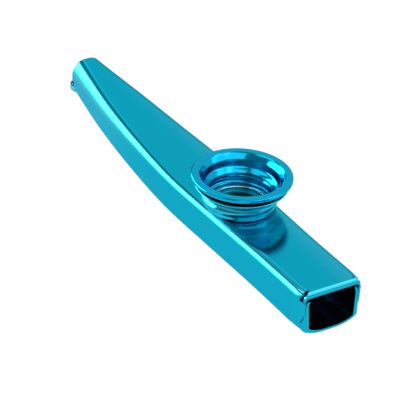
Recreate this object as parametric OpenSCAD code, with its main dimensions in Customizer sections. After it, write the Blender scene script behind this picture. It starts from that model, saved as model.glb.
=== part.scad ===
// Kazoo of formed sheet aluminium: a tapered two-shell body with a screwed membrane turret.
// Millimetres. X runs along the body, narrow end to wide end, and Z is up from the belly.

/* [Body] */
// Length of the body
body_l = 120; // [100:1:150]
// Widest outer width of the body
body_w = 19.1; // [18:0.1:24]
// Height from the belly to the flat top
body_h = 12.8; // [12:0.1:17]
// Thickness of the body's sheet
sheet_t = 0.6; // [0.5:0.05:1]
// Depth of the upper shell's side walls
wall_h = 9.8; // [8.5:0.1:10.5]
// Radius of the long top edges beside the turret
edge_r = 2.2; // [1.5:0.1:2.6]
// Height that the top gains at the narrow end
tip_rise = 4; // [2:0.1:5]
// Height that the belly gains at the narrow end
belly_rise = 6.6; // [4:0.1:7]
// Width of the flat keel that the body rests on
keel_w = 2.8; // [2:0.1:5]
// Side play between the two shells
shell_gap = 0.1; // [0.05:0.01:0.3]

/* [Body ends] */
// Length of the rounded lower corner of the upper shell's walls
corner_l = 4.5; // [3:0.1:7]
// Height of that rounded corner at the wide end
corner_h = 4; // [2:0.1:5]
// How far each side draws in over that length at the wide end
mouth_tuck = 0.6; // [0:0.05:1]
// How far the belly draws in over that length at the wide end
mouth_lift = 0.35; // [0:0.05:1]
// Height of that rounded corner at the narrow end
tip_corner_h = 2.3; // [1:0.1:2.8]
// Outer bend radius of the lip over the wide mouth
lip_r = 1.3; // [1:0.05:2]
// Height of the lip below the flat top
lip_h = 1.6; // [1.4:0.05:2]
// Width of the relief slits beside the lip
slit_w = 0.5; // [0.3:0.05:0.8]
// Length of the turned hem on the lower shell's ends
hem_l = 1.6; // [1:0.1:2.5]
// How far the hem swells out at the wide end
mouth_hem = 0.4; // [0.1:0.05:0.8]
// How far the hem swells out at the narrow end
tip_hem = 1.25; // [0.5:0.05:1.5]

/* [Turret neck] */
// Distance from the wide end to the middle of the turret
turret_inset = 41; // [30:0.5:50]
// Mean outer radius of the rolled thread
neck_r = 9.55; // [9.5:0.05:11]
// Thickness of the neck's sheet
neck_t = 0.45; // [0.3:0.05:0.6]
// Height of the neck above the flat top
neck_h = 6.5; // [6.2:0.1:7]
// Outer radius of the flared lip
neck_lip_r = 11.9; // [11.8:0.05:13.5]
// Radius of the bore under the membrane
neck_bore_r = 6; // [4.5:0.1:6.3]
// Width of the edge that is rolled out under the top
stake_w = 0.9; // [0.5:0.05:1.2]

/* [Thread] */
// Rise of the rolled thread in one turn
pitch = 3.4; // [2.8:0.1:4]
// Half of the rolled thread's depth
thread_a = 0.4; // [0.25:0.05:0.45]
// Radial clearance between cap and neck
thread_gap = 0.2; // [0.15:0.01:0.4]
// Height of the plain band under the thread
thread_low = 1; // [0.9:0.05:1.3]
// Height of the top of the thread
thread_high = 4.4; // [4.2:0.1:4.8]

/* [Cap] */
// Thickness of the cap's sheet
cap_t = 0.4; // [0.3:0.05:0.5]
// Outer radius of the cap's flange
flange_r = 12.85; // [12.6:0.05:14.5]
// Height of the flange's top face above the flat top
flange_h = 9; // [8.5:0.1:10]
// Height of the flange's rolled rim
rim_h = 1.4; // [0.9:0.05:1.5]
// Radius of the cup's mouth inside the flange
mouth_r = 10.4; // [10.3:0.05:10.8]
// Radius of the hole in the cup's floor
cap_hole_r = 6.6; // [5:0.1:7]

/* [Membrane] */
// Clearance between the membrane and the rounded corner of the neck's seat
membrane_gap = 0.15; // [0.1:0.01:0.5]
// Thickness of the film
film_t = 0.1; // [0.05:0.01:0.15]
// Height of the ring
ring_h = 0.3; // [0.2:0.05:0.5]
// Width of the ring
ring_w = 1.7; // [0.8:0.1:2]

/* [Hidden] */

body_color = [0, 0.63, 0.75];
turret_color = [0, 0.55, 0.76];
// Outer width along the body, as [share of length, share of width]
width_shares = [[0, 0.482], [0.167, 0.732], [0.333, 0.89], [0.5, 1], [0.667, 0.973], [0.833, 0.927], [1, 0.928]];
// Wall depth along the body, as [share of length, share of depth]
wall_shares = [[0, 0.775], [0.333, 0.9], [0.667, 0.945], [1, 1]];
// Edge radius along the body, as [share of length, share of radius]
edge_shares = [[0, 2.09], [0.25, 1.26], [0.5, 0.92], [1, 1.08]];
// Part of the length over which the top and the belly sweep up to the narrow end
top_sweep_share = 0.56;
belly_sweep_share = 0.52;
// Lean of the lower shell's wall, as a share of its half width
lean_share = 0.06;
// Widest part of the half width that the edge radius may take
edge_limit_share = 0.9;

edge_steps = 6;
bend_steps = 8;
belly_steps = 6;
end_steps = 6;
mid_steps = 14;
turn_steps = 40;
round_fn = 96;
over = sheet_t;
fit_gap = neck_t / 9;
step_h = sheet_t / 2;
skin = sheet_t / 20;
lead_l = slit_w / 2;
neck_x = body_l / 2 - turret_inset;
spigot_r = neck_bore_r + neck_t;
seat_r = neck_r - thread_a - thread_low;
membrane_r = seat_r - membrane_gap;
cap_floor_z = neck_t + film_t + ring_h;
cap_r = neck_r - neck_t - thread_gap;
stake_t = neck_t * 0.8;
bead_h = neck_t * 4 / 3;
rim_w = rim_h * 0.6;
mouth_h = cap_t * 4;
mouth_w = cap_t * 1.25;
// Flares of the neck and the cap, as [share of height, share of growth in radius]
neck_flare_shares = [[0, 0], [0.3, 0.22], [0.6, 0.55], [1, 1]];
cap_flare_shares = [[0, 0], [0.1, 0.1], [0.3, 0.52], [0.5, 0.87], [0.7, 0.96], [1, 1]];
// Extra thickness of a flare's sheet, measured level, where it slopes most
slope_share = 0.35;
thread_steps = 12;
flare_steps = 6;

// Smooth curve through a table of [share, value] pairs
function span(t, s, i = 0) = i >= len(t) - 2 || s < t[i + 1][0] ? i : span(t, s, i + 1);
function rise(t, i, j) = (t[j][1] - t[i][1]) / (t[j][0] - t[i][0]);
function slope(t, i) = rise(t, max(i - 1, 0), min(i + 1, len(t) - 1));
function blend(u, v0, m0, v1, m1) =
    (2 * u ^ 3 - 3 * u ^ 2 + 1) * v0 + (u ^ 3 - 2 * u ^ 2 + u) * m0
    + (3 * u ^ 2 - 2 * u ^ 3) * v1 + (u ^ 3 - u ^ 2) * m1;
function smooth(t, s) =
    let (i = span(t, s), h = t[i + 1][0] - t[i][0])
    blend((s - t[i][0]) / h, t[i][1], slope(t, i) * h, t[i + 1][1], slope(t, i + 1) * h);
function ease(u) = let (v = max(0, min(1, u))) v * v * (3 - 2 * v);

// Shape of the body at a share of its length, counted from the narrow end
function near_mouth(s) = max(0, 1 - (1 - s) * body_l / corner_l) ^ 2;
function half_w(s) = body_w / 2 * smooth(width_shares, s) - mouth_tuck * near_mouth(s);
function top_z(s) = body_h + tip_rise * max(0, 1 - s / top_sweep_share) ^ 2;
function belly_z(s) = belly_rise * max(0, 1 - s / belly_sweep_share) ^ 2
    + mouth_lift * near_mouth(s);
function edge(s) = min(edge_r * smooth(edge_shares, s), edge_limit_share * half_w(s));
function wall_foot(s) = top_z(s) - wall_h * smooth(wall_shares, s);

// Height that the walls' rounded corners take off at a share of the length
function corner_drop(h, d) =
    let (u = max(0, 1 - d / corner_l)) h * (1 - sqrt(1 - u * u));
function foot(s) = wall_foot(s)
    + corner_drop(tip_corner_h, s * body_l) + corner_drop(corner_h, (1 - s) * body_l);

// Places along the body where a section is drawn, close together at the two ends
end_places = [for (k = [0 : end_steps]) corner_l / body_l * (1 - sin(90 * (1 - k / end_steps)))];
places = concat(
    end_places,
    [for (k = [1 : mid_steps - 1]) let (e = corner_l / body_l) e + (1 - 2 * e) * k / mid_steps],
    [for (k = [end_steps : -1 : 0]) 1 - end_places[k]]);

// A section from its right half: over to the left side, then back along the inner face
function reversed(l) = [for (i = [len(l) - 1 : -1 : 0]) l[i]];
function left(l) = [for (p = l) [-p[0], p[1]]];
function section(outer, inner) = concat(outer, reversed(left(outer)), left(inner), reversed(inner));
function at_place(s, ring) = [for (p = ring) [(s - 1 / 2) * body_l, p[0], p[1]]];

// Right half of the upper shell's channel, from the foot of the wall to the flat top
function channel_half(w, r, top, low) = concat([[w, low]],
    [for (k = [0 : edge_steps]) let (a = 90 * k / edge_steps)
        [w - r + r * cos(a), top - r + r * sin(a)]]);
function upper_ring(s) =
    let (w = half_w(s), r = edge(s), z = top_z(s))
    section(channel_half(w, r, z, foot(s)),
        channel_half(w - sheet_t, r - sheet_t, z - sheet_t, foot(s)));

// Right half of the lower shell, from the top of its wall to the flat keel
function hem(s) =
    tip_hem * ease(1 - s * body_l / hem_l) + mouth_hem * ease(1 - (1 - s) * body_l / hem_l);
function trough_half(s, inset, bulge) =
    let (
        w = half_w(s) - sheet_t - shell_gap - inset,
        high = top_z(s) - edge(s) - shell_gap * 2,
        low = foot(s) - shell_gap,
        turn = wall_foot(s) - step_h - shell_gap * 2,
        bottom = belly_z(s) + inset,
        keel = keel_w / 2)
    concat(
        [[w * (1 - lean_share), high], [w, (high + low) / 2], [w, low], [w + bulge, low - step_h]],
        [for (k = [0 : belly_steps]) let (a = 90 * k / belly_steps)
            [keel + (w + bulge - keel) * cos(a), turn - (turn - bottom) * sin(a) ^ 1.3]]);
function lower_ring(s) = section(trough_half(s, 0, hem(s)), trough_half(s, sheet_t, 0));

// Solid between rings of points; looped joins the last ring to the first
module loft(rings, looped = false) {
    m = len(rings);
    n = len(rings[0]);
    last = (m - 1) * n;
    sides = [for (j = [0 : m - (looped ? 1 : 2)]) for (i = [0 : n - 1])
        let (k = (i + 1) % n, a = j * n, b = (j + 1) % m * n)
        each [[a + i, b + k, b + i], [a + i, a + k, b + k]]];
    ends = looped ? [] : [for (i = [0 : n / 2 - 2]) let (k = n - 1 - i)
        each [[i + 1, i, k], [i + 1, k, k - 1],
            [last + i, last + i + 1, last + k - 1], [last + i, last + k - 1, last + k]]];
    polyhedron(points = [for (r = rings) each r], faces = concat(sides, ends));
}

// The lip over the wide mouth, bent down from the flat top, with a lead-in sunk in the sheet
lip_profile = concat(
    [[-lip_r - lead_l, -sheet_t + skin], [-lip_r - lead_l, -skin]],
    arc(-lip_r, -lip_r, lip_r - skin, lip_r - skin, 90, 0, bend_steps),
    [[-skin, -lip_h], [skin - sheet_t, -lip_h]],
    arc(-lip_r, -lip_r, lip_r - sheet_t + skin, lip_r - sheet_t + skin, 0, 90, bend_steps));
module lip() {
    outline = channel_half(half_w(1) - skin, edge(1) - skin, body_h, 0);
    intersection() {
        translate([body_l / 2, body_w / 2, body_h])
            rotate([90, 0, 0]) linear_extrude(body_w) polygon(lip_profile);
        translate([body_l / 2 - lip_r - over, 0, 0]) rotate([90, 0, 90])
            linear_extrude(lip_r + 2 * over) polygon(concat(outline, reversed(left(outline))));
    }
}

module upper_shell() color(body_color) {
    bend_x = body_l / 2 - lip_r;
    cut_z = body_h - edge(1);
    difference() {
        union() {
            difference() {
                loft([for (s = reversed(places)) at_place(s, upper_ring(s))]);
                translate([neck_x, 0, body_h - sheet_t - over])
                    cylinder(r = spigot_r + fit_gap, h = sheet_t + 2 * over, $fn = round_fn);
                translate([bend_x - skin, -body_w / 2, cut_z])
                    cube([lip_r + over, body_w, edge_r + over]);
            }
            lip();
        }
        for (side = [0, 1]) mirror([0, side, 0])
            translate([bend_x - slit_w, half_w(1) - edge(1) + skin, cut_z - skin])
                cube([slit_w, edge_r + over, edge_r + over]);
    }
}

module lower_shell() color(body_color)
    loft([for (s = places) at_place(s, lower_ring(s))]);

// Rolled thread at a height and an angle, from 0 in the groove to 1 on the crest
function wave(z, a) = (1 + cos(360 * z / pitch - a)) / 2;
function start(z) = ease((z - thread_low) / (pitch / 4));
function end(z) = ease((thread_high - z) / (pitch / 4));
// Below, both threads grow out of the root; above, the neck's ends on its crest and the cap's in its root
function neck_thread_r(z, a) = neck_r - thread_a + 2 * thread_a * start(z) * (1 - end(z) * (1 - wave(z, a)));
function cap_thread_r(z, a) = cap_r - thread_a + 2 * thread_a * start(z) * end(z) * wave(z, a);

// Heights of the points along the thread, the neck's flare and the cap's flare
thread_zs = [for (k = [0 : thread_steps]) thread_low + (thread_high - thread_low) * k / thread_steps];
cap_zs = concat([cap_floor_z + cap_t / 2], [for (k = [1 : thread_steps]) thread_zs[k]]);
function neck_flare_r(z) = let (r = neck_r + thread_a, rim = neck_lip_r - bead_h / 3)
    r + (rim - r) * smooth(neck_flare_shares, (z - thread_high) / (neck_h - bead_h - thread_high));
// The cap's flare keeps clear of the neck's inner face
function cap_flare_r(z) = let (r = cap_r - thread_a, rim = mouth_r + cap_t)
    min(r + (rim - r) * smooth(cap_flare_shares, (z - thread_high) / (flange_h - mouth_h - thread_high)),
        neck_flare_r(min(z, neck_h - bead_h)) - neck_t * (1 + slope_share) - thread_gap);
function heights(top) = [for (k = [1 : flare_steps]) thread_high + (top - thread_high) * k / flare_steps];
neck_flare = [for (z = heights(neck_h - bead_h)) [neck_flare_r(z), z]];
cap_flare = [for (z = heights(flange_h - mouth_h)) [cap_flare_r(z), z]];
// A flare's inner face, thicker across the slope
function thinner(points, t) = [for (k = [0 : len(points) - 1])
    [points[k][0] - t * (1 + slope_share * (1 - k / (len(points) - 1))), points[k][1]]];
function arc(cx, cz, rx, rz, from, to, steps) = [for (k = [0 : steps])
    let (a = from + (to - from) * k / steps) [cx + rx * cos(a), cz + rz * sin(a)]];

// Section of the neck at one angle: stake, spigot, seat, thread, flare and rolled lip
function neck_section(a) = concat(
    [[neck_bore_r, -sheet_t - fit_gap - stake_t], [spigot_r + stake_w, -sheet_t - fit_gap - stake_t],
        [spigot_r + stake_w, -sheet_t - fit_gap], [spigot_r, -sheet_t - fit_gap], [spigot_r, 0]],
    arc(seat_r, thread_low, thread_low, thread_low, -90, -22.5, 3),
    [for (z = thread_zs) [neck_thread_r(z, a), z]],
    neck_flare,
    arc(neck_lip_r - bead_h * 5 / 8, neck_h - bead_h / 2, bead_h * 5 / 8, bead_h / 2, -30, 210, 6),
    reversed(thinner(neck_flare, neck_t)),
    [for (z = reversed(thread_zs)) [neck_thread_r(z, a) - neck_t, z]],
    arc(seat_r, thread_low, thread_low - neck_t, thread_low - neck_t, -22.5, -90, 3),
    [[neck_bore_r, neck_t]]);

// Section of the cap at one angle: floor, thread, flare, rolled rim, flange and cup
function cap_section(a) = concat(
    [[cap_hole_r, cap_floor_z], [cap_r - thread_a - cap_t / 2, cap_floor_z]],
    [for (z = cap_zs) [cap_thread_r(z, a), z]],
    cap_flare,
    [[mouth_r + cap_t, flange_h - cap_t * 3 / 2], [mouth_r + cap_t * 3 / 2, flange_h - cap_t],
        [flange_r - rim_w, flange_h - cap_t]],
    arc(flange_r - rim_w / 2, flange_h - rim_h + rim_w / 2, rim_w / 2, rim_w / 2, 180, 360, 4),
    arc(flange_r - rim_w / 2, flange_h - rim_w / 2, rim_w / 2, rim_w / 2, 0, 90, 3),
    arc(mouth_r + mouth_w, flange_h - mouth_h, mouth_w, mouth_h, 90, 162, 4),
    reversed(thinner(cap_flare, cap_t)),
    [for (z = reversed(cap_zs)) [cap_thread_r(z, a) - cap_t, max(z, cap_floor_z + cap_t)]],
    [[cap_hole_r, cap_floor_z + cap_t]]);

// One turn round the turret's axis of a section that changes with the angle
module turret_turn(section_at)
    translate([neck_x, 0, body_h])
        loft([for (k = [0 : turn_steps - 1]) let (a = 360 * k / turn_steps)
            [for (p = section_at(a)) [p[0] * cos(a), p[0] * sin(a), p[1]]]], looped = true);

module turret_neck() color(turret_color) turret_turn(function (a) neck_section(a));
module screw_cap() color(turret_color) turret_turn(function (a) cap_section(a));

module membrane_film() color([0.9, 0.92, 0.92, 0.5])
    translate([neck_x, 0, body_h + neck_t])
        cylinder(r = membrane_r, h = film_t, $fn = round_fn);

module membrane_ring() color([0.85, 0.87, 0.86])
    translate([neck_x, 0, body_h + neck_t + film_t])
        difference() {
            cylinder(r = membrane_r, h = ring_h, $fn = round_fn);
            translate([0, 0, -over])
                cylinder(r = membrane_r - ring_w, h = ring_h + 2 * over, $fn = round_fn);
        }

upper_shell();
lower_shell();
turret_neck();
membrane_film();
membrane_ring();
screw_cap();
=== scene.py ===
import math

import bmesh
import bpy
from mathutils import Matrix, Vector


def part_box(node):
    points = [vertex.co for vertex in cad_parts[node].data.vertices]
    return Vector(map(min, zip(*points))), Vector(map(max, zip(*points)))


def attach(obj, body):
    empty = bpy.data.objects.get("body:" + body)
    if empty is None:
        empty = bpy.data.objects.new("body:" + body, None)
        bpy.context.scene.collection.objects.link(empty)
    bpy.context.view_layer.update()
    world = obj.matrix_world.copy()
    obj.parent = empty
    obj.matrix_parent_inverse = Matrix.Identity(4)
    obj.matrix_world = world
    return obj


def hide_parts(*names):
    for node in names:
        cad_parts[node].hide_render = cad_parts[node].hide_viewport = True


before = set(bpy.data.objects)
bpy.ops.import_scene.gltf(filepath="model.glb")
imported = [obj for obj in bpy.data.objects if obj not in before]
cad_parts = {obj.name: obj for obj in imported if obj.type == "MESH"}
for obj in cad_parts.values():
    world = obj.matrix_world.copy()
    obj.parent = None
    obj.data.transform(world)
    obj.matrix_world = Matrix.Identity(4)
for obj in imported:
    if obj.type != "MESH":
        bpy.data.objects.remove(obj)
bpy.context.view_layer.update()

mm = 0.001

# Places read off the boxes of the CAD parts in model.glb
shell_low, shell_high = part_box("upper_shell")
cap_low, cap_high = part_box("screw_cap")
neck_low, neck_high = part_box("turret_neck")
film_low, film_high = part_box("membrane_film")
ring_low, ring_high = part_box("membrane_ring")

# Body
body_l = shell_high.x - shell_low.x
body_w = 19.1 * mm
sheet_t = 0.6 * mm
wall_h = 9.8 * mm
edge_r = 2.2 * mm
tip_rise = 4 * mm
belly_rise = 6.6 * mm
keel_w = 2.8 * mm
shell_gap = 0.1 * mm
step_h = sheet_t / 2
top_cut_edge_r = 0.1 * mm
belly_cut_edge_r = 0.25 * mm
weld_gap = 0.0001 * mm

# Body ends
corner_l = 4.5 * mm
corner_h = 4 * mm
tip_corner_h = 2.3 * mm
mouth_tuck = 0.6 * mm
mouth_lift = 0.35 * mm
lip_r = 1.3 * mm
lip_h = 1.6 * mm
lip_corner = 1.5 * mm
slit_w = 0.2 * mm
slit_end = 0.05 * mm
hem_l = 1.6 * mm
mouth_hem = 0.4 * mm
tip_hem = 1.25 * mm

# Shapes along the body, as shares of its length and of each size
width_shares = [
    (0, 0.482), (0.167, 0.732), (0.333, 0.89), (0.5, 1), (0.667, 0.973), (0.833, 0.927), (1, 0.928),
]
wall_shares = [(0, 0.775), (0.333, 0.9), (0.667, 0.945), (1, 1)]
edge_shares = [(0, 1.86), (0.25, 1.26), (0.5, 0.92), (1, 1.08)]
top_sweep_share = 0.56
belly_sweep_share = 0.52
edge_limit_share = 0.9
lean_share = 0.06
hem_fall_share = 0.6
mouth_fold_share = 0.14
belly_power = 1.3

# Turret neck and its thread
neck_t = 0.45 * mm
deck_z = film_low.z - neck_t
turret_x = (film_low.x + film_high.x) / 2
neck_r = 9.55 * mm
neck_top = neck_high.z - deck_z
neck_lip_r = (neck_high.x - neck_low.x) / 2
neck_bore_r = 6 * mm
bore_chamfer = neck_t / 3
spigot_r = neck_bore_r + neck_t
stake_w = 0.9 * mm
stake_t = neck_t * 4 / 5
stake_gap = neck_t / 9
bead_h = 0.6 * mm
bead_w = bead_h * 5 / 4
bead_lap = bead_h / 3
pitch = 3.4 * mm
thread_a = 0.4 * mm
thread_gap = 0.2 * mm
thread_low = 1 * mm
thread_high = 4.4 * mm
thread_fade = pitch / 4

# Cap
cap_t = 0.4 * mm
cap_r = neck_r - neck_t - thread_gap
cap_floor = cap_low.z - deck_z
cap_hole_r = 6.6 * mm
cap_mouth_r = 10.75 * mm
cap_mouth_round = 0.2 * mm
flange_r = (cap_high.x - cap_low.x) / 2
flange_top = cap_high.z - deck_z
rim_h = 1.15 * mm
rim_w = 0.8 * mm

# Flares of the neck and the cap, as shares of their height and of their growth in radius
neck_flare_shares = [(0, 0), (0.3, 0.22), (0.6, 0.55), (1, 1)]
cap_flare_shares = [
    (0, 0), (0.12, 0.2), (0.22, 0.4), (0.28, 0.48), (0.45, 0.53),
    (0.66, 0.58), (0.72, 0.64), (0.9, 0.86), (1, 1),
]
slope_share = 0.35
cup_t = cap_t * (1 + slope_share)

# Membrane and its ring
seat_r = neck_r - thread_a - thread_low
ring_w = 1.7 * mm
seat_gap = 0.02 * mm
clear_r = 4.6 * mm
clear_end_r = clear_r * 5 / 4
ripple_h = 0.02 * mm
ripple_count = 9
ripple_twist = 5

# Steps along the body and across its sheet
tip_steps = 12
body_steps = 90
mouth_steps = 8
wall_steps = 14
edge_steps = 16
flat_steps = 40
lip_bend_steps = 12
lip_drop_steps = 5
slit_steps = 3
slit_wall_steps = 12
lean_steps = 8
straight_steps = 5
hem_steps = 5
belly_steps = 22
hole_steps = 96

# Steps round the turret and along its sections
turret_steps = 256
ring_steps = 128
film_steps = 24
thread_steps = 60
flare_steps = 16
cup_steps = 40
seat_corner_steps = 10
bead_steps = 24
rim_foot_steps = 20
rim_top_steps = 12
cap_mouth_steps = 5
ring_corner_steps = 4

# Colours of the finishes: linear red, green, blue and alpha
body_colors = (0.006, 0.375, 0.53, 1), (0.008, 0.405, 0.565, 1)
# Painted haze: a paler, whiter turquoise that stands in for reflected light
painted_haze_color = (0.22, 0.52, 0.66, 1)
# Painted highlight: a whiter turquoise for the bright band on the rounded edges
painted_highlight_color = (0.045, 0.42, 0.58, 1)
speck_color = (0.35, 0.62, 0.68, 1)
cap_colors = (0.0, 0.35, 0.57, 1), (0.0, 0.39, 0.62, 1)
neck_colors = (0.02, 0.43, 0.55, 1), (0.028, 0.47, 0.59, 1)
# Painted shade: a near-black blue for the cap's hidden outside and the gap under its rim
painted_shade_colors = (0.0, 0.02, 0.05, 1), (0.0, 0.035, 0.075, 1)
bare_colors = (0.80, 0.74, 0.74, 1), (0.92, 0.88, 0.87, 1)
# Painted shade: the film's near-black tint
painted_shade_film_colors = (0.0, 0.01, 0.02, 1), (0.0, 0.03, 0.05, 1)
seat_color = (0.02, 0.62, 0.75, 1)
ring_colors = (0.0, 0.28, 0.40, 1), (0.0, 0.32, 0.44, 1)
floor_colors = (0.07, 0.07, 0.07, 1), (0.08, 0.08, 0.08, 1)
floor_glow_colors = (0.99, 0.99, 1.0, 1), (1.0, 1.0, 1.0, 1)
daylight_color = (0.95, 0.97, 1.0, 1)

# Relief of the finishes: the body's grain in waves a metre along each axis, and each depth
grain_scale = (120, 2600, 2600)
grain_depth = 0.0003 * mm
turning_depth = 0.00005 * mm
film_depth = 0.002 * mm
ring_depth = 0.001 * mm

# Where a paler, whitish haze is painted into the colour, standing in for reflected light: on the walls
# towards the narrow end, on the top towards the far side
wall_haze_low = -10 * mm
wall_haze_high = body_l * 0.55
top_haze_low = -body_w * 0.1
top_haze_high = body_w * 0.75

# Camera: where it looks and from where, with angles in degrees
view_x = 16.888 * mm
view_y = -8.112 * mm
view_azimuth = 55.883
view_elevation = 31.769
view_roll = 3.923
view_distance = 490.84 * mm
view_lens = 170
view_sensor_w = 36
view_near = 10 * mm

# Studio: softboxes by name, with azimuth, elevation, width and height in degrees, radiance and distance
floor_half = 1500 * mm
daylight = 0.3
softboxes = [
    ("back", 193.5, 38, 98, 60, 0.62, 600 * mm),
    ("high_back", 281, 60, 48, 28, 0.5, 1500 * mm),
    ("edge_light", 306, 15, 62, 38, 5, 330 * mm),
    ("lip_light", 130, 35, 36, 60, 1.2, 600 * mm),
    ("front_right", 81, 46, 46, 44, 1.3, 600 * mm),
    ("front_left", 338, 57, 40, 22, 1.2, 600 * mm),
]


def through(shares, s):
    """Smooth curve through a table of shares."""
    last = len(shares) - 2
    i = next((k for k in range(last) if s < shares[k + 1][0]), last)

    def rise(a, b):
        return (shares[b][1] - shares[a][1]) / (shares[b][0] - shares[a][0])

    def slope(k):
        return rise(max(k - 1, 0), min(k + 1, last + 1))

    (x0, y0), (x1, y1) = shares[i], shares[i + 1]
    h = x1 - x0
    u = (s - x0) / h
    return (
        (2 * u**3 - 3 * u**2 + 1) * y0
        + (u**3 - 2 * u**2 + u) * slope(i) * h
        + (3 * u**2 - 2 * u**3) * y1
        + (u**3 - u**2) * slope(i + 1) * h
    )


def ease(u):
    """Smooth rise from 0 to 1, level at both ends."""
    v = max(0.0, min(1.0, u))
    return v * v * (3 - 2 * v)


def steps(first, last, count):
    """Evenly spaced values, both ends included."""
    return [first + (last - first) * k / count for k in range(count + 1)]


def round_steps(count):
    """Angles evenly spaced round a circle."""
    return steps(0, 2 * math.pi, count)[:-1]


# Shape of the body at a share s of its length, from 0 at the narrow end to 1 at the wide mouth
def near_mouth(s):
    """1 at the wide mouth, falling to 0 a corner's length before it."""
    return max(0, 1 - (1 - s) * body_l / corner_l) ** 2


def half_w(s):
    """Half the upper shell's width."""
    return body_w / 2 * through(width_shares, s) - mouth_tuck * near_mouth(s)


def top_z(s):
    """Height of the flat top, which sweeps up towards the narrow end."""
    return deck_z + tip_rise * max(0, 1 - s / top_sweep_share) ** 2


def belly_z(s):
    """Height of the keel's underside, which sweeps up towards the narrow end."""
    return belly_rise * max(0, 1 - s / belly_sweep_share) ** 2 + mouth_lift * near_mouth(s)


def edge(s):
    """Radius of the rounded edge between top and wall."""
    return min(edge_r * through(edge_shares, s), edge_limit_share * half_w(s))


def wall_foot(s):
    """Height of the wall's lower edge, before its corners are rounded."""
    return top_z(s) - wall_h * through(wall_shares, s)


def corner_lift(height, distance):
    """How far a wall's rounded corner lifts its lower edge at a distance from the end."""
    u = max(0, 1 - distance / corner_l)
    return height * (1 - math.sqrt(1 - u * u))


def foot(s):
    """Height of the wall's lower edge, with its corners rounded."""
    return wall_foot(s) + corner_lift(tip_corner_h, s * body_l) + corner_lift(corner_h, (1 - s) * body_l)


def hem(s):
    """How far the lower shell's hem stands out, at either end."""
    return tip_hem * ease(1 - s * body_l / hem_l) + mouth_hem * ease(1 - (1 - s) * body_l / hem_l)


def at(s):
    """The station, along the body from its middle, of a share of its length."""
    return (s - 0.5) * body_l


def share_at(x):
    """The share of the body's length that a station lies at."""
    return x / body_l + 0.5


def share_steps(last):
    """Shares of the body's length where its sections stand, closer together near the ends."""
    corner_share = corner_l / body_l
    tip = [corner_share * (1 - math.cos(a)) for a in steps(0, math.pi / 2, tip_steps)]
    middle = steps(corner_share, 1 - corner_share, body_steps)[1:]
    return tip + middle + steps(1 - corner_share, last, mouth_steps)[1:]


class Skin:
    """Points and faces of one piece, gathered from grids whose shared edges are welded."""

    def __init__(self):
        self.mesh = bmesh.new()

    def grid(self, rows, loop_rows=False, loop_columns=False, material=0):
        """Adds a grid of points and its faces, which may close from last row to first or round each row."""
        points = [[self.mesh.verts.new(p) for p in row] for row in rows]
        row_count, column_count = len(points), len(points[0])
        for j in range(row_count if loop_rows else row_count - 1):
            for i in range(column_count if loop_columns else column_count - 1):
                near, far = points[j], points[(j + 1) % row_count]
                k = (i + 1) % column_count
                face = self.mesh.faces.new((near[i], near[k], far[k], far[i]))
                face.material_index = material
        return points

    def weld(self):
        """Joins points that lie on each other, such as those of two grids along a shared edge."""
        bmesh.ops.remove_doubles(self.mesh, verts=self.mesh.verts, dist=weld_gap)

    def piece(self, name, *finishes):
        """The finished object, smooth shaded."""
        self.weld()
        for face in self.mesh.faces:
            face.smooth = True
        data = bpy.data.meshes.new(name)
        self.mesh.to_mesh(data)
        self.mesh.free()
        obj = bpy.data.objects.new(name, data)
        bpy.context.scene.collection.objects.link(obj)
        for finish in finishes:
            data.materials.append(finish)
        return obj


class Sheet(Skin):
    """A skin of bent sheet: each point comes with its partner on the sheet's inner side."""

    def __init__(self):
        super().__init__()
        self.inner = self.mesh.verts.layers.float_vector.new("inner")

    def grid(self, rows):
        """Adds the outer side of rows of pairs, and keeps each point's partner."""
        points = super().grid([[outer for outer, _ in row] for row in rows])
        for row, made in zip(rows, points):
            for (_, inner), vert in zip(row, made):
                vert[self.inner] = inner

    def close(self):
        """Adds the inner side and the cut edges."""
        self.weld()
        border = [side.link_loops[0] for side in self.mesh.edges if side.is_boundary]
        ends = [(loop.vert, loop.link_loop_next.vert) for loop in border]
        faces = [list(face.verts) for face in self.mesh.faces]
        partner = {v: self.mesh.verts.new(v[self.inner]) for v in list(self.mesh.verts)}
        for face in faces:
            self.mesh.faces.new([partner[v] for v in reversed(face)])
        for first, second in ends:
            self.mesh.faces.new((second, first, partner[first], partner[second]))


def apply(obj, kind, **settings):
    """Adds one modifier and applies it."""
    modifier = obj.modifiers.new(kind.lower(), kind)
    for key, value in settings.items():
        setattr(modifier, key, value)
    bpy.context.view_layer.update()
    shaped = bpy.data.meshes.new_from_object(obj.evaluated_get(bpy.context.evaluated_depsgraph_get()))
    obj.modifiers.clear()
    old = obj.data
    obj.data = shaped
    bpy.data.meshes.remove(old)
    return obj


def round_cut_edges(obj, width, segments, sharp):
    """Rounds each edge that is sharper than an angle in degrees."""
    return apply(obj, "BEVEL", width=width, segments=segments, limit_method="ANGLE",
                 angle_limit=math.radians(sharp), harden_normals=True)


# Pairs of points on the outer and the inner side of the upper shell's sheet, from a wall up to the top
def wall_pairs(s):
    w = half_w(s)
    return [((w, z), (w - sheet_t, z)) for z in steps(foot(s), top_z(s) - edge(s), wall_steps)]


def edge_pairs(s):
    r, z = edge(s), top_z(s)
    y = half_w(s) - r

    def bent(radius, a):
        return y + radius * math.cos(a), z - r + radius * math.sin(a)

    return [(bent(r, a), bent(r - sheet_t, a)) for a in steps(0, math.pi / 2, edge_steps)]


def flat_pairs(s):
    y, z = half_w(s) - edge(s), top_z(s)
    return [((y * side, z), (y * side, z - sheet_t)) for side in steps(1, -1, flat_steps)]


def pair_row(x, pairs, side=1):
    """A row of outer and inner points at one station, on either side of the body."""
    row = [((x, y * side, z), (x, inner_y * side, inner_z)) for (y, z), (inner_y, inner_z) in pairs]
    return row[::side]


def shell_row(x):
    """The upper shell's whole section at one station, from wall to wall."""
    s = share_at(x)
    bend = wall_pairs(s) + edge_pairs(s)[1:]
    return pair_row(x, bend) + pair_row(x, flat_pairs(s)[1:-1]) + pair_row(x, bend, -1)


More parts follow.
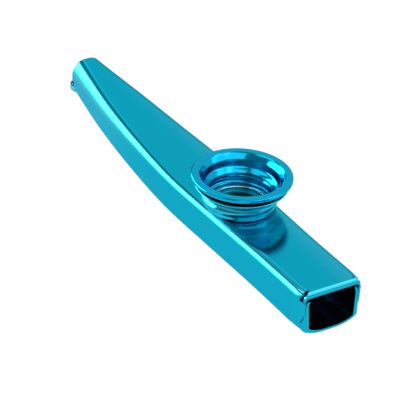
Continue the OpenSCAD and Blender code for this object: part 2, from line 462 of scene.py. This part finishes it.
def slit_row(slit_x, bend_x, u, side):
    """The rounded edge beside the slit, which narrows from the wall to the top."""
    row = []
    for k, rise in enumerate(steps(0, 1, edge_steps)):
        gap = slit_w + (slit_end - slit_w) * rise
        x = slit_x + (bend_x - gap - slit_x) * u
        row += pair_row(x, [edge_pairs(share_at(x))[k]], side)
    return row[::side]


def lip_rows(bend_x):
    """The lip, bent down over the wide mouth, as wide as the body is at each height."""
    w, r = half_w(1), edge(1)

    def half(drop):
        return w - r + math.sqrt(max(0, r * r - (r - min(drop, r)) ** 2))

    sides = steps(1, -1, flat_steps)
    rows = [pair_row(bend_x, flat_pairs(share_at(bend_x)))]
    for a in steps(0, math.pi / 2, lip_bend_steps)[1:]:
        drop, out = lip_r * (1 - math.cos(a)), lip_r * math.sin(a)
        inner_drop, inner_out = drop + sheet_t * math.cos(a), out - sheet_t * math.sin(a)
        rows.append([((bend_x + out, half(drop) * side, deck_z - drop),
                      (bend_x + inner_out, half(drop) * side, deck_z - inner_drop)) for side in sides])
    for u in steps(0, 1, lip_drop_steps)[1:]:
        row = []
        for side in sides:
            y = half(lip_r + (lip_h - lip_r) * u) * side
            near = max(0, 1 - (half(lip_h) - abs(y)) / lip_corner)
            extra = lip_corner * (1 - math.sqrt(1 - near * near))
            z = deck_z - lip_r - (lip_h - lip_r + extra) * u
            row.append(((body_l / 2, y, z), (body_l / 2 - sheet_t, y, z)))
        rows.append(row)
    return rows


def spigot_hole():
    """The cutter for the hole that the neck's spigot goes through."""
    skin = Skin()
    ring = [(turret_x + spigot_r * math.cos(a), spigot_r * math.sin(a)) for a in round_steps(hole_steps)]
    heights = deck_z - 2 * sheet_t, deck_z + sheet_t
    for end in skin.grid([[(x, y, z) for x, y in ring] for z in heights], loop_columns=True):
        skin.mesh.faces.new(end)
    bmesh.ops.recalc_face_normals(skin.mesh, faces=skin.mesh.faces)
    return skin.piece("cutter")


def top_shell(finish):
    """The upper shell: a bent sheet whose lip turns down over the wide mouth between two slits."""
    bend_x = body_l / 2 - lip_r
    slit_x = bend_x - slit_w
    near_bend = steps(0, 1, slit_steps)
    skin = Sheet()
    skin.grid([shell_row(at(s)) for s in share_steps(share_at(slit_x))])
    for side in (1, -1):
        skin.grid([slit_row(slit_x, bend_x, u, side) for u in near_bend])
        walls = steps(slit_x, body_l / 2, slit_wall_steps)
        skin.grid([pair_row(x, wall_pairs(share_at(x)), side) for x in walls])
    flat = [slit_x + (bend_x - slit_end - slit_x) * u for u in near_bend] + [bend_x]
    skin.grid([pair_row(x, flat_pairs(share_at(x))) for x in flat])
    skin.grid(lip_rows(bend_x))
    skin.close()
    shell = skin.piece("top_shell", finish)
    cutter = spigot_hole()
    apply(shell, "BOOLEAN", operation="DIFFERENCE", solver="EXACT", object=cutter)
    bpy.data.objects.remove(cutter)
    return round_cut_edges(shell, top_cut_edge_r, segments=3, sharp=40)


def trough_points(s, inset, bulge):
    """Right half of the lower shell, from the top of its wall to the middle of its keel."""
    w = half_w(s) - sheet_t - shell_gap - inset
    high = top_z(s) - edge(s) - 2 * shell_gap
    low = foot(s) - shell_gap
    middle = (high + low) / 2
    fall = step_h + bulge * hem_fall_share
    turn = min(wall_foot(s) - step_h - 2 * shell_gap, low - fall)
    bottom = belly_z(s) + inset
    reach = w + bulge - keel_w / 2
    lean = [(w * (1 - lean_share * ((z - middle) / (high - middle)) ** 2), z)
            for z in steps(high, middle, lean_steps)]
    straight = [(w, z) for z in steps(middle, low, straight_steps)[1:]]
    step = [(w + bulge * ease(u), low - fall * u) for u in steps(0, 1, hem_steps)[1:]]
    belly = [(keel_w / 2 + reach * math.cos(a), turn - (turn - bottom) * math.sin(a) ** belly_power)
             for a in steps(0, math.pi / 2, belly_steps)]
    return lean + straight + step + belly


def other_side(points):
    """The mirror image of half a section, so that the two join at the keel."""
    return [(-y, z) for y, z in reversed(points)]


def folded(points, s):
    """The inner side near the mouth, drawn in more and more towards the keel."""
    low, high = belly_z(s), top_z(s)
    fold = mouth_fold_share * near_mouth(s)
    return [(y * (1 - fold * ease((high - z) / (high - low))), z) for y, z in points]


def belly_shell(finish):
    """The lower shell: a trough with a turned hem at both ends."""
    skin = Skin()
    rings = []
    for s in share_steps(1):
        outer, inner = trough_points(s, 0, hem(s)), trough_points(s, sheet_t, 0)
        left = other_side(folded(inner, s))
        section = outer + other_side(outer) + (inner + left)[::-1]
        rings.append([(at(s), y, z) for y, z in section])
    skin.grid([ring[::-1] for ring in rings], loop_columns=True)
    half = len(rings[0]) // 2
    for ring, way in ((rings[0], -1), (rings[-1], 1)):
        skin.grid([ring[:half][::way], ring[half:][::-1][::way]])
    shell = skin.piece("belly_shell", finish)
    return round_cut_edges(shell, belly_cut_edge_r, segments=4, sharp=50)


# Rolled thread of the neck and the cap, at a height over the deck and an angle round the turret
def wave(z, a):
    """The helix, from 0 in the groove to 1 on the crest."""
    return (1 + math.cos(2 * math.pi * z / pitch - a)) / 2


def thread_start(z):
    """0 below the thread, 1 once it is full."""
    return ease((z - thread_low) / thread_fade)


def thread_end(z):
    """1 while the thread is full, 0 above it."""
    return ease((thread_high - z) / thread_fade)


def neck_thread_r(z, a):
    crest = thread_start(z) * (1 - thread_end(z) * (1 - wave(z, a)))
    return neck_r - thread_a + 2 * thread_a * crest


def cap_thread_r(z, a):
    crest = thread_start(z) * thread_end(z) * wave(z, a)
    return cap_r - thread_a + 2 * thread_a * crest


def neck_flare_r(z):
    """The neck above its thread: a flare that ends under its rolled lip."""
    r, rim = neck_r + thread_a, neck_lip_r - bead_lap
    return r + (rim - r) * through(neck_flare_shares, (z - thread_high) / (neck_top - bead_h - thread_high))


def cap_inner_r(z):
    """The cup above its thread: a slope, a steep wall and the slope of its mouth."""
    r = cap_r - thread_a - cap_t
    return r + (cap_mouth_r - r) * through(cap_flare_shares, (z - thread_high) / (flange_top - thread_high))


def arc(cx, cz, rx, rz, first, last, count):
    """Points of an ellipse between two angles in degrees."""
    return [(cx + rx * math.cos(math.radians(a)), cz + rz * math.sin(math.radians(a)))
            for a in steps(first, last, count)]


def thinner(points, t):
    """The flare's other side, its wall thickest where the flare starts."""
    last = len(points) - 1
    return [(r - t * (1 + slope_share * (1 - k / last)), z) for k, (r, z) in enumerate(points)]


thread_zs = steps(thread_low, thread_high, thread_steps)
cap_zs = [cap_floor + cap_t / 2] + thread_zs[1:]
cup_zs = steps(thread_high, flange_top - cap_mouth_round, cup_steps)[1:]
neck_flare = [(neck_flare_r(z), z) for z in steps(thread_high, neck_top - bead_h, flare_steps)[1:]]


def neck_section(a):
    """The neck at one angle: stake, spigot, seat, thread, flare and rolled lip."""
    under = -sheet_t - stake_gap
    inner_r = thread_low - neck_t
    return (
        [(neck_bore_r, under - stake_t), (spigot_r + stake_w, under - stake_t), (spigot_r + stake_w, under),
         (spigot_r, under), (spigot_r, 0)]
        + arc(seat_r, thread_low, thread_low, thread_low, -90, -5, seat_corner_steps)
        + [(neck_thread_r(z, a), z) for z in thread_zs]
        + neck_flare
        + arc(neck_lip_r - bead_w / 2, neck_top - bead_h / 2, bead_w / 2, bead_h / 2, -50, 230, bead_steps)
        + thinner(neck_flare, neck_t)[::-1]
        + [(neck_thread_r(z, a) - neck_t, z) for z in reversed(thread_zs)]
        + arc(seat_r, thread_low, inner_r, inner_r, -5, -90, seat_corner_steps)
        + [(neck_bore_r + bore_chamfer, neck_t), (neck_bore_r, neck_t - bore_chamfer)]
    )


def cap_outside(a):
    """The cap's outside at one angle: half its hole's edge, floor, thread, flare and flange."""
    return (
        [(cap_hole_r, cap_floor + cap_t / 2), (cap_hole_r, cap_floor)]
        + [(cap_r - thread_a - cap_t / 2, cap_floor)]
        + [(cap_thread_r(z, a), z) for z in cap_zs]
        + [(cap_inner_r(z) + cup_t, z) for z in cup_zs if z < flange_top - cup_t]
        + [(flange_r - rim_w, flange_top - cap_t)]
    )


def cap_inside(a):
    """The cap's other side at one angle: rolled rim, flange, cup and thread."""
    r = rim_w / 2
    mouth = cap_mouth_round
    return (
        arc(flange_r - r, flange_top - rim_h + r, r, r, 180, 360, rim_foot_steps)
        + arc(flange_r - r, flange_top - r, r, r, 0, 90, rim_top_steps)
        + arc(cap_mouth_r + mouth, flange_top - mouth, mouth, mouth, 90, 140, cap_mouth_steps)
        + [(cap_inner_r(z), z) for z in reversed(cup_zs)]
        + [(cap_thread_r(z, a) - cap_t, max(z, cap_floor + cap_t)) for z in reversed(cap_zs)]
        + [(cap_hole_r, cap_floor + cap_t)]
    )


def ring_section(a):
    """The membrane ring, the same at each angle: a flat band with rounded corners."""
    outer = (ring_high.x - ring_low.x) / 2
    inner = outer - ring_w
    low, high = ring_low.z - deck_z, ring_high.z - deck_z - seat_gap
    r = (high - low) / 3
    return (
        arc(outer - r, low + r, r, r, -90, 0, ring_corner_steps)
        + arc(outer - r, high - r, r, r, 0, 90, ring_corner_steps)
        + arc(inner + r, high - r, r, r, 90, 180, ring_corner_steps)
        + arc(inner + r, low + r, r, r, 180, 270, ring_corner_steps)
    )


def turned(section, count):
    """A section carried once round the turret's axis, each row from its end to its start."""
    rows = []
    for a in round_steps(count):
        row = [(turret_x + r * math.cos(a), r * math.sin(a), deck_z + z) for r, z in section(a)]
        rows.append(row[::-1])
    return rows


def neck_cup(finish):
    """The neck, one closed skin from its stake to its rolled lip."""
    skin = Skin()
    skin.grid(turned(neck_section, turret_steps), loop_rows=True, loop_columns=True)
    return skin.piece("neck_cup", finish)


def cap_cup(bright, bare_edge, painted_shade):
    """The cap, with painted shade on its outside where it hides in the neck and under the rim, and a bare
    cut edge round its floor's hole.
    """
    skin = Skin()
    outer, inner = turned(cap_outside, turret_steps), turned(cap_inside, turret_steps)
    skin.grid([[far[-1]] + near for near, far in zip(outer, inner)], loop_rows=True, material=2)
    skin.grid(inner, loop_rows=True)
    skin.grid([[near[-1], far[0]] for near, far in zip(outer, inner)], loop_rows=True, material=1)
    return skin.piece("cap_cup", bright, bare_edge, painted_shade)


def membrane(finish):
    """The film, a disc with its own thickness and faint tension ripples."""
    skin = Skin()
    radius = (film_high.x - film_low.x) / 2

    def disc(z, ripple):
        rows = []
        for a in round_steps(ring_steps):
            row = []
            for u in steps(0, 1, film_steps)[1:]:
                wave_z = ripple * math.sin(ripple_count * a + ripple_twist * u) * u * (1 - u) ** 2
                row.append((turret_x + radius * u * math.cos(a), radius * u * math.sin(a), z + wave_z))
            rows.append(row)
        return rows

    upper, lower = disc(film_high.z, -ripple_h), disc(film_low.z, ripple_h)
    skin.grid(upper, loop_rows=True)
    skin.grid([row[::-1] for row in lower], loop_rows=True)
    skin.grid([[b[-1], t[-1]] for b, t in zip(lower, upper)], loop_rows=True)
    for rows, way in ((upper, 1), (lower, -1)):
        middle = [skin.mesh.verts.new(row[0]) for row in rows]
        skin.mesh.faces.new(middle[::way])
    return skin.piece("resonator_film", finish)


def washer(finish):
    """The ring that holds the film down."""
    skin = Skin()
    skin.grid(turned(ring_section, ring_steps), loop_rows=True, loop_columns=True)
    return skin.piece("washer", finish)


class Number:
    """A shader value that takes part in sums: each sum adds its Math node."""

    def __init__(self, finish, socket):
        self.finish = finish
        self.socket = socket

    def math(self, operation, *others):
        values = dict(enumerate((self, *others)))
        return self.finish.node("ShaderNodeMath", {"operation": operation}, values)["Value"]

    def __add__(self, other):
        return self.math("ADD", other)

    def __radd__(self, other):
        return self + other

    def __sub__(self, other):
        return self.math("SUBTRACT", other)

    def __rsub__(self, other):
        return self * -1 + other

    def __mul__(self, other):
        return self.math("MULTIPLY", other)

    def __rmul__(self, other):
        return self * other

    def between(self, low, high):
        """0 below low, 1 above high and smooth in between."""
        return self.finish.node(
            "ShaderNodeMapRange", {"interpolation_type": "SMOOTHSTEP"},
            {"Value": self, "From Min": low, "From Max": high})["Result"]


class Outputs:
    """The outputs of one node, by name or number."""

    def __init__(self, finish, node):
        self.finish = finish
        self.node = node

    def __getitem__(self, name):
        return Number(self.finish, self.node.outputs[name])


class Finish:
    """One material: its shader, with what varies over the surface linked to it."""

    def __init__(self, name, **fixed):
        self.material = bpy.data.materials.new(name)
        self.material.use_nodes = True
        self.tree = self.material.node_tree
        self.shader = next(n for n in self.tree.nodes if n.type == "BSDF_PRINCIPLED")
        self.shade(**fixed)
        self.coordinates = self.node("ShaderNodeTexCoord", {}, {})
        self.place = self.coordinates["Object"]

    def put(self, socket, value):
        """Links a shader value to a socket, or sets a plain one on it."""
        if isinstance(value, Number):
            self.tree.links.new(value.socket, socket)
        else:
            socket.default_value = value

    def node(self, kind, settings, inputs):
        """Adds any node: its settings first, then the values or links of its sockets."""
        made = self.tree.nodes.new(kind)
        for key, value in settings.items():
            setattr(made, key, value)
        for key, value in inputs.items():
            self.put(made.inputs[key], value)
        return Outputs(self, made)

    def shade(self, **values):
        """Puts a value or a link on each of the shader's own sockets that is named."""
        for key, value in values.items():
            self.put(self.shader.inputs[key.replace("_", " ")], value)

    def noise(self, where, scale, detail=2.0, roughness=0.5):
        """A soft random pattern, with its scale in waves a metre."""
        return self.node("ShaderNodeTexNoise", {}, {
            "Vector": where, "Scale": scale, "Detail": detail, "Roughness": roughness})["Fac"]

    def mix(self, factor, first, second):
        """A colour between two, from the first at 0 to the second at 1."""
        return self.node("ShaderNodeMix", {"data_type": "RGBA"}, {0: factor, 6: first, 7: second})[2]

    def bump(self, height, distance):
        """A relief as deep as the distance where the height is 1."""
        return self.node("ShaderNodeBump", {}, {"Height": height, "Distance": distance})["Normal"]

    def stretched(self, scale):
        """Object coordinates with each axis scaled."""
        return self.node("ShaderNodeMapping", {}, {"Vector": self.place, "Scale": scale})["Vector"]

    def apart(self, vector):
        """The X, Y and Z of a vector."""
        return self.node("ShaderNodeSeparateXYZ", {}, {"Vector": vector})

    def round_turret(self):
        """Coordinates that stay alike all round the turret: radius and height."""
        centred = self.node("ShaderNodeVectorMath", {"operation": "SUBTRACT"}, {
            0: self.place, 1: (turret_x, 0, deck_z)})["Vector"]
        parts = self.apart(centred)
        radius = (parts["X"] * parts["X"] + parts["Y"] * parts["Y"]).math("SQRT")
        return self.node("ShaderNodeCombineXYZ", {}, {"X": radius, "Y": 0.0, "Z": parts["Z"]})["Vector"]


def body_anodise():
    """Satin turquoise anodising on rolled sheet, with a faint grain along the body and a few specks, and
    painted light: a whitish haze on the walls towards the narrow end and on the top's far side, and a
    whiter tint on the rounded edges as a highlight.
    """
    finish = Finish("satin_turquoise", Metallic=1.0, Coat_Weight=0.06, Coat_Roughness=0.1, Coat_IOR=1.5,
                    Specular_Tint=(0.1, 0.6, 0.7, 1))
    grain = finish.noise(finish.stretched(grain_scale), scale=1.0, detail=3.0, roughness=0.6)
    cloud = finish.noise(finish.place, scale=60.0, detail=3.0)
    cell = finish.node("ShaderNodeTexVoronoi", {"feature": "F1"}, {"Vector": finish.place, "Scale": 260.0})
    chosen = finish.noise(finish.place, scale=310.0, detail=0.0).between(0.7, 0.74)
    speck = (1 - cell["Distance"].between(0.03, 0.06)) * chosen
    place = finish.apart(finish.place)
    facing = finish.apart(finish.coordinates["Normal"])["Z"]
    slant = facing * facing
    upright = 1 - slant.between(0.02, 0.2)
    level = slant.between(0.95, 0.99)
    # Painted highlight: the rounded edges between top and walls take a whiter tint where the bright band of
    # reflected light falls
    rounded = slant.between(0.1, 0.35) * (1 - slant.between(0.6, 0.85))
    # Painted haze: paler and whiter on the walls towards the narrow end and on the top's far side
    painted_wall_haze = upright * (place["X"] * -1).between(wall_haze_low, wall_haze_high) * 0.75
    painted_top_haze = level * place["Y"].between(top_haze_low, top_haze_high) * 0.3
    color = finish.mix(cloud, *body_colors)
    color = finish.mix(painted_wall_haze + painted_top_haze, color, painted_haze_color)
    color = finish.mix(rounded, color, painted_highlight_color)
    finish.shade(
        Base_Color=finish.mix(speck, color, speck_color),
        Roughness=0.12 + cloud * 0.05 + grain * 0.02 + speck * 0.3,
        Normal=finish.bump(grain * 0.3 + speck, grain_depth),
    )
    return finish.material


def turret_anodise(name, colors):
    """Bright anodising on the spun turret, with fine turning lines."""
    finish = Finish(name, Metallic=1.0, Coat_Weight=0.1, Coat_Roughness=0.04, Coat_IOR=1.5,
                    Specular_Tint=(0.2, 0.7, 0.8, 1))
    lines = finish.noise(finish.round_turret(), scale=5200.0, roughness=0.6)
    peel = finish.noise(finish.place, scale=900.0)
    cloud = finish.noise(finish.place, scale=120.0)
    finish.shade(
        Base_Color=finish.mix(cloud, *colors),
        Roughness=0.13 + lines * 0.04 + cloud * 0.02,
        Normal=finish.bump(lines * 0.6 + peel * 0.4, turning_depth),
    )
    return finish.material


def painted_shade_anodise():
    """Painted shade: the same blue made near black and rougher, where the cap hides in the neck and in the
    gap under the rim.
    """
    finish = Finish("painted_shade_blue", Metallic=1.0, Specular_Tint=(0.05, 0.1, 0.15, 1))
    cloud = finish.noise(finish.place, scale=400.0, detail=3.0)
    finish.shade(
        Base_Color=finish.mix(cloud, *painted_shade_colors),
        Roughness=0.3 + cloud * 0.2,
    )
    return finish.material


def bare_aluminium():
    """The metal's own grey where the hole was cut after anodising."""
    finish = Finish("bare_cut_edge", Metallic=1.0)
    lines = finish.noise(finish.round_turret(), scale=9000.0)
    finish.shade(
        Base_Color=finish.mix(lines, *bare_colors),
        Roughness=0.25 + lines * 0.15,
    )
    return finish.material


def shaded_film():
    """A see-through film made near black as painted shade, with the blue of its seat showing near its edge.
    """
    finish = Finish("shaded_film", IOR=1.3, Specular_Tint=(0.1, 0.5, 0.6, 1))
    cloud = finish.noise(finish.place, scale=500.0, detail=3.0)
    radius = finish.apart(finish.round_turret())["X"]
    seat = radius.between(clear_r, clear_end_r)
    finish.shade(
        Base_Color=finish.mix(seat, finish.mix(cloud, *painted_shade_film_colors), seat_color),
        Metallic=seat,
        Alpha=0.5 + seat * 0.5,
        Roughness=0.15 + cloud * 0.15,
        Normal=finish.bump(cloud, film_depth),
    )
    return finish.material


def ring_anodise():
    """Satin blue on the ring, with fine turning lines."""
    finish = Finish("satin_ring", Metallic=1.0, Specular_Tint=(0.2, 0.7, 0.8, 1))
    lines = finish.noise(finish.round_turret(), scale=7000.0)
    cloud = finish.noise(finish.place, scale=900.0)
    finish.shade(
        Base_Color=finish.mix(cloud, *ring_colors),
        Roughness=0.22 + lines * 0.1,
        Normal=finish.bump(lines, ring_depth),
    )
    return finish.material


def floor():
    """A pale floor that glows a little, as a lit table does, so that shadows stay faint."""
    finish = Finish("pale_floor", Roughness=0.9, Specular_IOR_Level=0.0, Emission_Strength=0.97)
    cloud = finish.noise(finish.place, scale=4.0)
    finish.shade(
        Base_Color=finish.mix(cloud, *floor_colors),
        Emission_Color=finish.mix(cloud, *floor_glow_colors),
    )
    skin = Skin()
    skin.grid([[(x, y, 0) for y in (-floor_half, floor_half)] for x in (floor_half, -floor_half)])
    skin.piece("floor", finish.material)


def direction(azimuth, elevation):
    """Unit vector towards a compass place: azimuth 0 is -Y, 90 is +X."""
    a, e = math.radians(azimuth), math.radians(elevation)
    return Vector((math.sin(a) * math.cos(e), -math.cos(a) * math.cos(e), math.sin(e)))


def camera():
    """The photograph's view, a long lens over the wide end."""
    away = direction(view_azimuth, view_elevation)
    data = bpy.data.cameras.new("camera")
    data.lens = view_lens
    data.sensor_width = view_sensor_w
    data.clip_start = view_near
    obj = bpy.data.objects.new("camera", data)
    bpy.context.scene.collection.objects.link(obj)
    place = Matrix.Translation(Vector((view_x, view_y, deck_z)) + away * view_distance)
    aim = (-away).to_track_quat("-Z", "Y").to_matrix().to_4x4()
    obj.matrix_world = place @ aim @ Matrix.Rotation(math.radians(view_roll), 4, "Z")
    bpy.context.scene.camera = obj


def softbox(name, azimuth, elevation, wide, high, radiance, distance):
    """A soft rectangular light, as wide and high in degrees as the turret sees it."""
    data = bpy.data.lights.new(name, "AREA")
    data.shape = "RECTANGLE"
    data.size = 2 * distance * math.tan(math.radians(wide / 2))
    data.size_y = 2 * distance * math.tan(math.radians(high / 2))
    data.energy = radiance * math.pi * data.size * data.size_y
    obj = bpy.data.objects.new(name, data)
    bpy.context.scene.collection.objects.link(obj)
    away = direction(azimuth, elevation)
    place = Matrix.Translation(Vector((turret_x / 2, 0, deck_z)) + away * distance)
    obj.matrix_world = place @ away.to_track_quat("Z", "Y").to_matrix().to_4x4()


def studio():
    """Faint even daylight and the softboxes."""
    bpy.context.scene.view_settings.view_transform = "Standard"
    world = bpy.data.worlds.new("studio")
    world.use_nodes = True
    background = world.node_tree.nodes["Background"]
    background.inputs["Color"].default_value = daylight_color
    background.inputs["Strength"].default_value = daylight
    bpy.context.scene.world = world
    for light in softboxes:
        softbox(*light)


satin = body_anodise()
bright_blue = turret_anodise("bright_blue", cap_colors)
bright_teal = turret_anodise("bright_teal", neck_colors)
pieces = [
    (top_shell(satin), "body", "upper_shell", "shell_blue"),
    (belly_shell(satin), "body", "lower_shell", "shell_blue"),
    (neck_cup(bright_teal), "body", "turret_neck", "turret_blue"),
    (membrane(shaded_film()), "membrane", "membrane_film", "film"),
    (washer(ring_anodise()), "membrane", "membrane_ring", "ring"),
    (cap_cup(bright_blue, bare_aluminium(), painted_shade_anodise()), "cap", "screw_cap", "turret_blue"),
]
for piece, body, node, slot in pieces:
    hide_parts(node)
    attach(piece, body)

floor()
camera()
studio()
